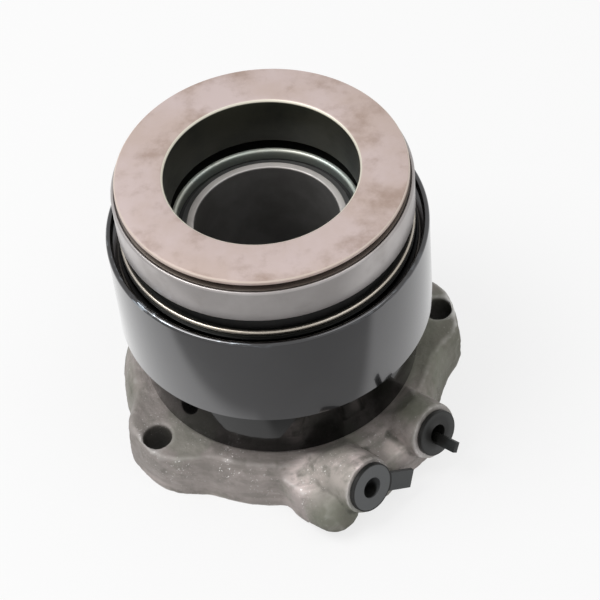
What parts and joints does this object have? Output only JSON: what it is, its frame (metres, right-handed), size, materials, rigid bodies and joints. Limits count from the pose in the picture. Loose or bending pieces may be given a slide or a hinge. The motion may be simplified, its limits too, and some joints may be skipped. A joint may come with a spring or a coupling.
{
  "type": "concentric slave cylinder",
  "caption": "Hydraulic clutch release cylinder that sits round a gearbox input shaft: eared cast flange with ports, sprung black sleeve and a release bearing with a flat thrust ring.",
  "frame": {"origin": "on the shaft axis, in the plane of the casting's mounting face", "axes": "+Z runs along the shaft axis from the gearbox towards the clutch; the first bolt hole lies 8.3 degrees from +X and the ports point towards -49 degrees"},
  "size_m": [0.1088, 0.1211, 0.0935],
  "materials": {
    "casting": "as cast, warm grey, slightly stained",
    "tube_steel": "ground and satin",
    "seal_rubber": "matt black",
    "gloss_black": "glossy black, lightly scuffed",
    "spring_steel": "oiled spring steel",
    "plug_plastic": "dark grey moulded",
    "piston_plastic": "dark moulded",
    "zinc_steel": "zinc plated with a yellowish tint",
    "bright_wire": "bright wire",
    "bearing_steel": "fine ground, satin",
    "shield_steel": "brownish pressed steel",
    "thrust_steel": "hardened, pinkish brown with faint stains",
    "cage_plastic": "moulded polyamide",
    "ball_steel": "polished"
  },
  "bodies": {
    "housing": {"cast_body": "casting", "guide_tube": "tube_steel", "guide_tube_seal": "seal_rubber", "base_seal": "seal_rubber", "spring_housing": "gloss_black", "preload_spring": "spring_steel", "stop_ring": "spring_steel", "inlet_port_plug": "plug_plastic", "bleed_port_plug": "plug_plastic"},
    "release_unit": {"dust_sleeve": "gloss_black", "piston": "piston_plastic", "piston_wiper": "seal_rubber", "piston_seal": "seal_rubber", "spring_seat": "spring_steel", "bearing_carrier": "zinc_steel", "centring_ring": "seal_rubber", "retaining_ring": "bright_wire", "bearing_outer_ring": "bearing_steel", "bearing_shield": "shield_steel", "bearing_seal": "seal_rubber"},
    "turning_ring": {"thrust_ring": "thrust_steel"},
    "ball_set": {"ball_cage": "cage_plastic", "ball_01": "ball_steel", "ball_02": "ball_steel", "ball_03": "ball_steel", "ball_04": "ball_steel", "ball_05": "ball_steel", "ball_06": "ball_steel", "ball_07": "ball_steel", "ball_08": "ball_steel", "ball_09": "ball_steel", "ball_10": "ball_steel", "ball_11": "ball_steel", "ball_12": "ball_steel", "ball_13": "ball_steel", "ball_14": "ball_steel", "ball_15": "ball_steel", "ball_16": "ball_steel"}
  },
  "joints": [
    {"name": "release_slide", "type": "slide", "parent": "housing", "child": "release_unit", "axis": [0, 0, 1], "range_m": [-0.016, 0], "stiffness_N_per_m": 8000, "springref_m": 0.012, "deforming": ["preload_spring"]},
    {"name": "thrust_ring_spin", "type": "hinge", "parent": "release_unit", "child": "turning_ring", "pos_m": [0, 0, 0.091], "axis": [0, 0, 1], "continuous": true},
    {"name": "cage_spin", "type": "hinge", "parent": "release_unit", "child": "ball_set", "pos_m": [0, 0, 0.0846], "axis": [0, 0, 1], "continuous": true}
  ],
  "couplings": [
    {"joint": "cage_spin", "follows": "thrust_ring_spin", "ratio": 0.465}
  ]
}
